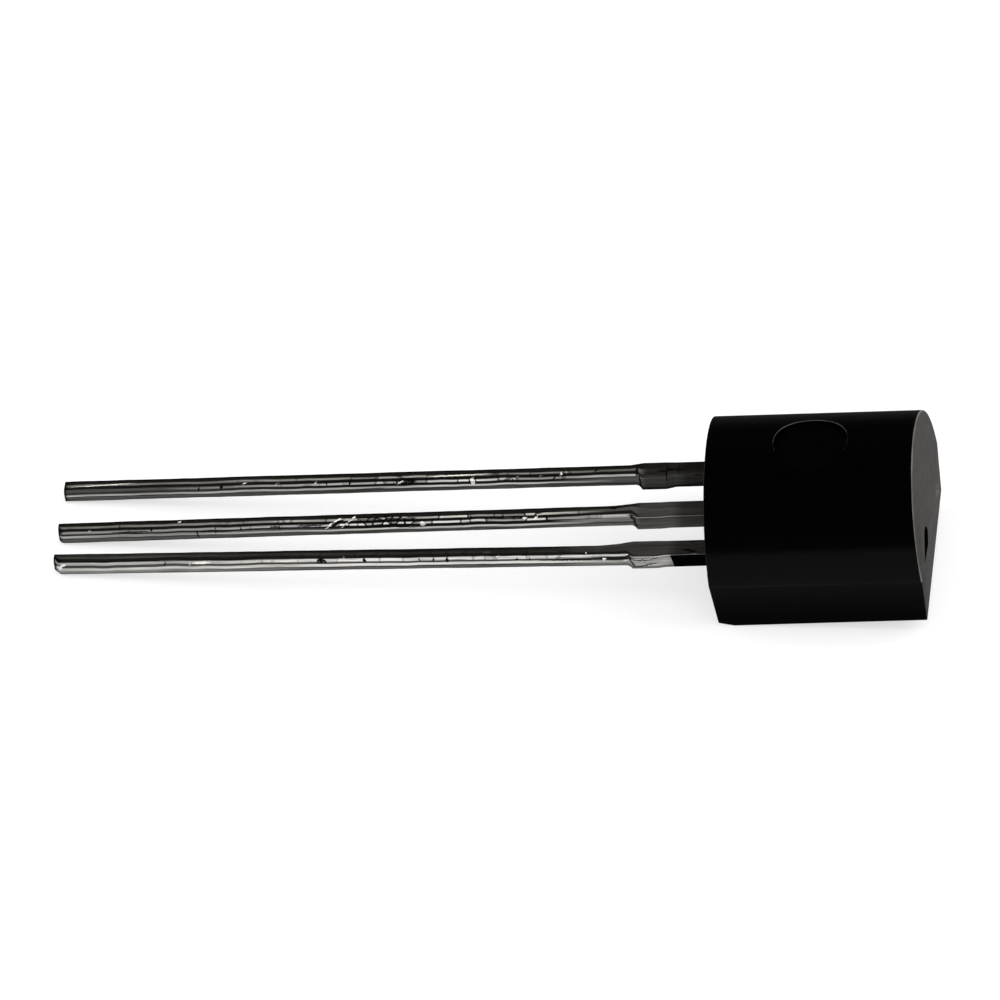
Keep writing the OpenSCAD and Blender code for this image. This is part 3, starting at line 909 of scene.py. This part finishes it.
# How ragged their outlines are along and round the lead, in millimetres
RAGGED = (0.1, 0.05, 0)
MARKS = {
    "base_lead": (
        (SCRAPE, -13.45, 0.27, 0.8, 0.015, -3), (CRACK, -11.35, 0.45, 0.06, 0.02, -65),
        (CRACK, -10.85, 0.43, 0.04, 0.05, 0), (SCRAPE, -10.35, 0.35, 0.06, 0.015, -35),
        (SCRAPE, -9.65, 0.38, 0.06, 0.015, -40), (SCRAPE, -8.8, 0.38, 0.05, 0.015, -45),
        (CRACK, -8.55, 0.41, 0.05, 0.015, -90), (CRACK, -8.05, 0.41, 0.08, 0.03, -90),
        (CRACK, -7.95, 0.48, 0.1, 0.015, 0), (CRACK, -7.1, 0.43, 0.08, 0.015, -100),
        (SCRAPE, -6.95, 0.43, 0.1, 0.015, -35), (CRACK, -6.85, 0.44, 0.12, 0.02, -40),
        (CRACK, -6.7, 0.41, 0.12, 0.02, -40), (CRACK, -5.95, 0.28, 0.05, 0.015, -90),
        (SCRAPE, -5.7, 0.28, 0.8, 0.02, -2), (PAINTED_GLINT, -5.37, 0.45, 0.045, 0.1, 0),
        (CRACK, -5.44, 0.44, 0.02, 0.1, 0), (CRACK, -5.3, 0.44, 0.02, 0.1, 0),
        (CRACK, -4.5, 0.45, 0.05, 0.02, -70), (SCRAPE, -4.4, 0.37, 0.04, 0.015, -20),
        (SCRAPE, -3.9, 0.37, 0.035, 0.015, -35), (CRACK, -3.6, 0.42, 0.08, 0.02, -75),
        (SCRAPE, -3.45, 0.33, 0.025, 0.06, 0), (CRACK, -3.4, 0.34, 0.05, 0.02, -90),
        (CRACK, -2.7, 0.26, 0.03, 0.055, 0), (CRACK, -1.8, 0.31, 0.12, 0.03, -90),
        (CRACK, -1.15, 0.38, 0.25, 0.02, -90), (CRACK, -1.05, 0.26, 0.35, 0.015, 0),
        (CRACK, -0.9, 0.27, 0.11, 0.02, -90), (CRACK, -0.45, 0.4, 0.11, 0.05, 0)),
    "collector_lead": (
        (CRACK, -14.25, 0.38, 0.08, 0.05, 0), (SCRAPE, -13.6, 0.38, 0.04, 0.02, 0),
        (CRACK, -12.95, 0.31, 0.1, 0.015, -90), (CRACK, -12.7, 0.43, 0.5, 0.015, 0),
        (CRACK, -12.25, 0.4, 0.03, 0.04, 0), (PAINTED_GLINT, -11.65, 0.19, 0.05, 0.02, -25),
        (CRACK, -11.25, 0.56, 0.15, 0.015, -95), (CRACK, -10.85, 0.47, 0.09, 0.015, -90),
        (CRACK, -10.85, 0.49, 0.4, 0.015, 0), (CRACK, -10.3, 0.44, 0.06, 0.015, -90),
        (STAIN, -9.55, 0.43, 0.14, 0.04, 0), (CRACK, -9.45, 0.44, 0.02, 0.07, 0),
        (STAIN, -8.8, 0.42, 0.35, 0.025, 0), (PAINTED_GLINT, -8.3, 0.38, 0.25, 0.02, -40),
        (CRACK, -8.2, 0.38, 0.22, 0.04, -35), (SCRAPE, -8.0, 0.4, 0.18, 0.015, -40),
        (CRACK, -7.95, 0.43, 0.17, 0.015, -40), (PAINTED_GLINT, -7.85, 0.22, 0.05, 0.02, -35),
        (CRACK, -6.8, 0.53, 0.55, 0.015, 3), (PAINTED_GLINT, -6.35, 0.45, 0.06, 0.055, 0),
        (CRACK, -5.3, 0.37, 0.12, 0.02, -90), (CRACK, -4.6, 0.32, 0.07, 0.025, -80),
        (STAIN, -4.5, 0.38, 0.1, 0.03, 0), (STAIN, -4.3, 0.4, 0.1, 0.015, -20),
        (PAINTED_GLINT, -4.13, 0.4, 0.05, 0.04, 0), (PAINTED_GLINT, -3.88, 0.39, 0.09, 0.02, -50),
        (CRACK, -3.65, 0.42, 0.07, 0.02, -105), (CRACK, -2.2, 0.17, 0.1, 0.07, 0),
        (CRACK, -1.8, 0.5, 0.14, 0.02, 55), (STAIN, -1.8, 0.41, 0.055, 0.07, 0)),
    "emitter_lead": (
        (CRACK, -14.2, 0.34, 0.08, 0.07, 0), (PAINTED_GLINT, -14.12, 0.47, 0.12, 0.03, -25),
        (PAINTED_GLINT, -14.15, 0.51, 0.05, 0.055, 0), (CRACK, -11.85, 0.44, 0.07, 0.02, -90),
        (SCRAPE, -11.3, 0.45, 0.06, 0.015, -90), (PAINTED_GLINT, -11.05, 0.43, 0.22, 0.03, 0),
        (CRACK, -8.5, 0.43, 0.07, 0.025, -45), (CRACK, -8.45, 0.42, 0.04, 0.06, -20),
        (CRACK, -8.35, 0.44, 0.03, 0.05, -20),
        (SCRAPE, -7.95, 0.36, 0.035, 0.015, -30), (CRACK, -7.5, 0.43, 0.04, 0.07, 0),
        (CRACK, -6.3, 0.44, 0.065, 0.02, -105), (CRACK, -6.0, 0.45, 0.055, 0.02, -65),
        (CRACK, -5.7, 0.45, 0.08, 0.035, -90), (STAIN, -4.85, 0.27, 0.11, 0.035, 0),
        (PAINTED_GLINT, -4.6, 0.39, 0.04, 0.015, -35), (CRACK, -4.2, 0.47, 0.05, 0.03, -60),
        (CRACK, -4.0, 0.32, 0.11, 0.02, -55), (CRACK, -3.9, 0.46, 0.06, 0.02, -105),
        (CRACK, -3.05, 0.5, 0.8, 0.025, 0), (SCRAPE, -2.7, 0.35, 0.02, 0.03, 0),
        (PAINTED_GLINT, -2.3, 0.5, 0.045, 0.04, 0), (SCRAPE, -1.85, 0.54, 0.05, 0.025, 0),
        (STAIN, -1.75, 0.42, 0.06, 0.055, 0), (STAIN, -1.7, 0.56, 0.15, 0.02, 40),
        (STAIN, -1.5, 0.53, 0.2, 0.01, 0), (STAIN, -1.4, 0.6, 0.35, 0.01, -7),
        (STAIN, -1.1, 0.49, 0.28, 0.01, -9), (SCRAPE, -1.05, 0.45, 0.25, 0.02, -12),
        (CRACK, -0.45, 0.29, 0.19, 0.02, 5), (SCRAPE, -0.4, 0.36, 0.14, 0.015, -3),
        (CRACK, -0.3, 0.16, 0.2, 0.02, -3)),
}


def stripe_stops(stripes):
    """Ramp stops for stripes on the dull coat, with soft edges."""
    stops, reached = [], 0.0
    for start, end, tone in stripes:
        if start - reached > 2 * STRIPE_EDGE:
            stops += [(reached + STRIPE_EDGE, DULL_SHARE), (start - STRIPE_EDGE, DULL_SHARE)]
        stops += [(start, tone), (end, tone)]
        reached = end
    return stops


def tinned(name):
    """Dipped tin on a drawn lead: draw lines, ridges that are partly worn and partly painted
    highlight, cracked tiles, single marks and painted glints.
    """
    finish = bpy.context.scene.finish
    tin, oxide = tuple(finish.tin), tuple(finish.oxide)
    seed = 3.7 * (1 + list(TIN_AND_PAINTED_LIGHT_BANDS).index(name))
    material = bpy.data.materials.new("tinned_" + name)
    n = Nodes(material)
    place = n.add("ShaderNodeUVMap", uv_map="girth").outputs[0]
    split = n.add("ShaderNodeSeparateXYZ", {0: place})
    along, across = split.outputs[0], split.outputs[1]
    total = girth(in_mm(bpy.context.scene.lead_sizes))[-1]

    def stretched(u, v, shift):
        return n.vector(n.math("MULTIPLY", along, u), n.math("MULTIPLY", across, v), seed + shift)

    def streaks(u, v, shift, detail=3):
        return n.noise(stretched(u, v, shift), 1, detail, 0.6)

    def along_share(reach, *stops):
        reach = n.math("ADD", n.math("DIVIDE", reach, RAMP_LENGTH), 1.0)
        return n.ramp(reach, tuple((1 + u / RAMP_LENGTH, tone) for u, tone in stops))

    # how worn the lead is along its length, with a ragged start and end
    ragged = n.math("ADD", along, n.math("MULTIPLY", streaks(0.8, 3, 9, 1), 1.0))
    worn = along_share(ragged, (-11.5, 0.0), (-9.5, 0.45), (-7.0, 1.0), (-2.9, 1.0), (-1.7, 0.0))

    wander = n.math("ADD", streaks(0.5, 0, 0, 1), streaks(1.4, 0, 6, 1))
    wander = n.math("MULTIPLY", n.math("SUBTRACT", wander, 1.0), WANDER)
    around = n.math("DIVIDE", n.math("ADD", across, wander), total)
    tip, middle, shoulder, stub = (n.ramp(around, stripe_stops(stripes + UNDERSIDE))
                                   for stripes in TIN_AND_PAINTED_LIGHT_BANDS[name])
    share = n.mix(along_share(ragged, (-11.7, 0.0), (-7.5, 1.0)), tip, middle)
    share = n.mix(along_share(ragged, (-3.1, 0.0), (-1.9, 1.0)), share, shoulder)
    share = n.mix(along_share(along, (-1.75, 0.0), (-1.6, 1.0)), share, stub)
    # dark at the very tip, and painted shade over the last millimetre before the case
    darkened = along_share(along, (-14.25, 0.0), (-14.22, 1.0), (-0.95, 1.0), (-0.7, 0.45), (0.0, 0.35))

    # draw lines run the whole length; the worn middle has the stronger ones
    broad = n.ramp(streaks(0.3, 14, 1), ((0.3, 0.7), (0.7, 1.3)))
    fine = n.ramp(streaks(1.0, 44, 2), ((0.3, 0.65), (0.7, 1.35)))
    dark_lines = n.ramp(streaks(0.7, 24, 3), ((0.3, 0.1), (0.37, 1.0)))
    share = n.mix(1.0, share, broad, "MULTIPLY")
    share = n.mix(1.0, share, fine, "MULTIPLY")
    share = n.mix(worn, share, n.mix(1.0, share, dark_lines, "MULTIPLY"))

    # the coat on the top and the ridge cracked into tiles, some of them dull, some bare
    def tiles(u, v, shift, width):
        tile = {"Vector": n.vector(n.math("ADD", n.math("MULTIPLY", along, u), row),
                                   n.math("MULTIPLY", across, v), seed + shift),
                "Scale": 1.0, "Randomness": 0.8}
        gap = n.add("ShaderNodeTexVoronoi", tile, feature="DISTANCE_TO_EDGE").outputs["Distance"]
        cell = n.add("ShaderNodeTexVoronoi", tile).outputs["Color"]
        tone = n.ramp(cell, ((0.25, 0.45), (0.5, 1.0), (0.8, 1.3)))
        crack = n.ramp(gap, ((width / 2, 0.0), (width, 1.0)))
        return n.mix(1.0, tone, crack, "MULTIPLY")

    # the tiles of the ridge don't line up with those of the top
    row = n.math("MULTIPLY", n.math("GREATER_THAN", around, 0.275), 5.3)
    upper = n.ramp(around, ((0.16, 0.0), (0.18, 1.0), (0.36, 1.0), (0.375, 0.0)))
    tiled = n.mix(1.0, share, tiles(1.3, 0.5, 4, 0.03), "MULTIPLY")
    share = n.mix(n.math("MULTIPLY", n.math("MULTIPLY", worn, TILED[name]), upper), share, tiled)
    broken = n.mix(1.0, share, tiles(6.0, 13.0, 7, 0.16), "MULTIPLY")
    share = n.mix(n.mark(place, *BROKEN[name], 0), share, broken)
    share = n.mix(1.0, share, darkened, "MULTIPLY")

    # single marks with ragged outlines, painted glints among them
    shift = n.add("ShaderNodeTexNoise", {"Vector": place, "Scale": 16.0, "Detail": 2.0})
    shift = n.add("ShaderNodeVectorMath", {0: shift.outputs["Color"], 1: (0.5,) * 3},
                  operation="SUBTRACT").outputs[0]
    jagged = n.add("ShaderNodeVectorMath", {0: shift, 1: RAGGED, 2: place},
                   operation="MULTIPLY_ADD").outputs[0]
    for shown, *where in MARKS[name]:
        share = n.blend(n.mark(jagged, *where), share, shown)

    stain = n.ramp(around, ((0.25, (1.0, 0.97, 0.93)), (0.3, (1.0, 1.0, 1.0))))
    tone = n.mix(1.0, n.mix(share, oxide, tin), stain, "MULTIPLY")
    n.surface(Base_Color=tone, Metallic=1.0, Roughness=n.ramp(share, ((0.0, 0.34), (1.0, 0.2))),
              Specular_Tint=n.ramp(share, ((0.02, 0.03), (0.5, 1.0))),
              Normal=n.bump(streaks(0.9, 40, 5), 0.1, 5e-6))
    return material


# ---- stage ----


# name of the light: direction from the part, distance and diameter in metres, power in watts
LIGHTS = {
    "front_softbox": ((0.09, -0.73, 0.68), 0.9, 1.68, 9.0),
    "back_softbox": ((0.03, 0.68, 0.73), 0.9, 0.6, 2.2),
    "right_softbox": ((0.75, 0.1, 0.62), 0.8, 0.6, 3.6),
    "left_softbox": ((-0.75, 0.1, 0.62), 0.8, 0.6, 3.0),
}
# brightness of the studio's walls, from the floor up to straight overhead
SKY = ((0.0, 1.0), (0.05, 0.9), (0.09, 0.05), (0.5, 0.09), (1.0, 0.12))
CAMERA_PLACE = (0.0403027, -0.3223312, 0.3023344)
CAMERA_TURN = (0.82313917, 0.03784356, 0.08888746)


def light(name, direction, distance, size, power):
    """A soft round light that faces the part from a direction."""
    data = bpy.data.lights.new(name, "AREA")
    data.shape, data.size, data.energy = "DISK", size, power
    lamp = bpy.data.objects.new(name, data)
    bpy.context.scene.collection.objects.link(lamp)
    towards = Vector(direction).normalized()
    lamp.location = towards * distance
    lamp.rotation_mode = "QUATERNION"
    lamp.rotation_quaternion = (-towards).to_track_quat("-Z", "Y")


class TRANSISTOR_OT_stage(bpy.types.Operator):
    """Makes the floor, the soft lights and the camera"""

    bl_idname = "transistor.stage"
    bl_label = "Stage"

    def execute(self, context):
        scene, stage = context.scene, context.scene.stage_sizes
        bm = bmesh.new()
        bmesh.ops.create_grid(bm, x_segments=1, y_segments=1, size=stage.floor)
        floor = scratch_object(bm, "floor")
        material = bpy.data.materials.new("floor")
        n = Nodes(material)
        rays = n.add("ShaderNodeLightPath").outputs
        seen = n.math("MAXIMUM", n.math("MAXIMUM", rays["Is Camera Ray"], rays["Is Glossy Ray"]),
                      rays["Is Transmission Ray"])
        matt = n.add("ShaderNodeBsdfDiffuse", {"Color": (*stage.floor_colour, 1)})
        glow = n.add("ShaderNodeEmission", {"Strength": n.math("MULTIPLY", seen, stage.glow)})
        both = n.add("ShaderNodeAddShader", {0: matt.outputs[0], 1: glow.outputs[0]})
        n.add("ShaderNodeOutputMaterial", {0: both.outputs[0]})
        floor.data.materials.append(material)

        world = bpy.data.worlds.new("studio")
        scene.world = world
        n = Nodes(world)
        towards = n.add("ShaderNodeTexCoord").outputs["Generated"]
        height = n.add("ShaderNodeSeparateXYZ", {0: towards}).outputs[2]
        sky = n.add("ShaderNodeBackground", {0: n.ramp(height, SKY)})
        n.add("ShaderNodeOutputWorld", {0: sky.outputs[0]})

        for name, settings in LIGHTS.items():
            light(name, *settings)

        data = bpy.data.cameras.new("camera")
        data.lens, data.sensor_width = stage.lens, 36
        data.clip_start, data.clip_end = 0.01, 30
        camera = bpy.data.objects.new("camera", data)
        scene.collection.objects.link(camera)
        camera.location = CAMERA_PLACE
        camera.rotation_euler = CAMERA_TURN
        scene.camera = camera
        scene.view_settings.view_transform = "Standard"
        return {"FINISHED"}


class TRANSISTOR_PT_panel(bpy.types.Panel):
    """Lists the pieces and their sizes"""

    bl_label = "Transistor"
    bl_space_type = "VIEW_3D"
    bl_region_type = "UI"
    bl_category = "Transistor"

    def draw(self, context):
        for operator in OPERATORS:
            self.layout.operator(operator.bl_idname)
        for group in GROUPS:
            settings = getattr(context.scene, group)
            box = self.layout.box()
            box.label(text=settings.bl_rna.description)
            for name in settings.__annotations__:
                box.prop(settings, name)


OPERATORS = (TRANSISTOR_OT_case, TRANSISTOR_OT_leads, TRANSISTOR_OT_inner_parts,
             TRANSISTOR_OT_stage)
GROUPS = {"case_sizes": CaseSizes, "lead_sizes": LeadSizes, "finish": Finish,
          "stage_sizes": StageSizes}


def register():
    """Adds the classes and hangs their settings on the scene."""
    for made in (*GROUPS.values(), *OPERATORS, TRANSISTOR_PT_panel):
        bpy.utils.register_class(made)
    for name, group in GROUPS.items():
        setattr(bpy.types.Scene, name, PointerProperty(type=group))


def unregister():
    """Takes all of it away again."""
    for name in GROUPS:
        delattr(bpy.types.Scene, name)
    for made in (TRANSISTOR_PT_panel, *reversed(OPERATORS), *reversed(GROUPS.values())):
        bpy.utils.unregister_class(made)


def main():
    """Makes every piece and the stage."""
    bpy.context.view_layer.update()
    register()
    bpy.ops.transistor.case()
    bpy.ops.transistor.leads()
    bpy.ops.transistor.inner_parts()
    bpy.ops.transistor.stage()


if __name__ == "__main__":
    main()
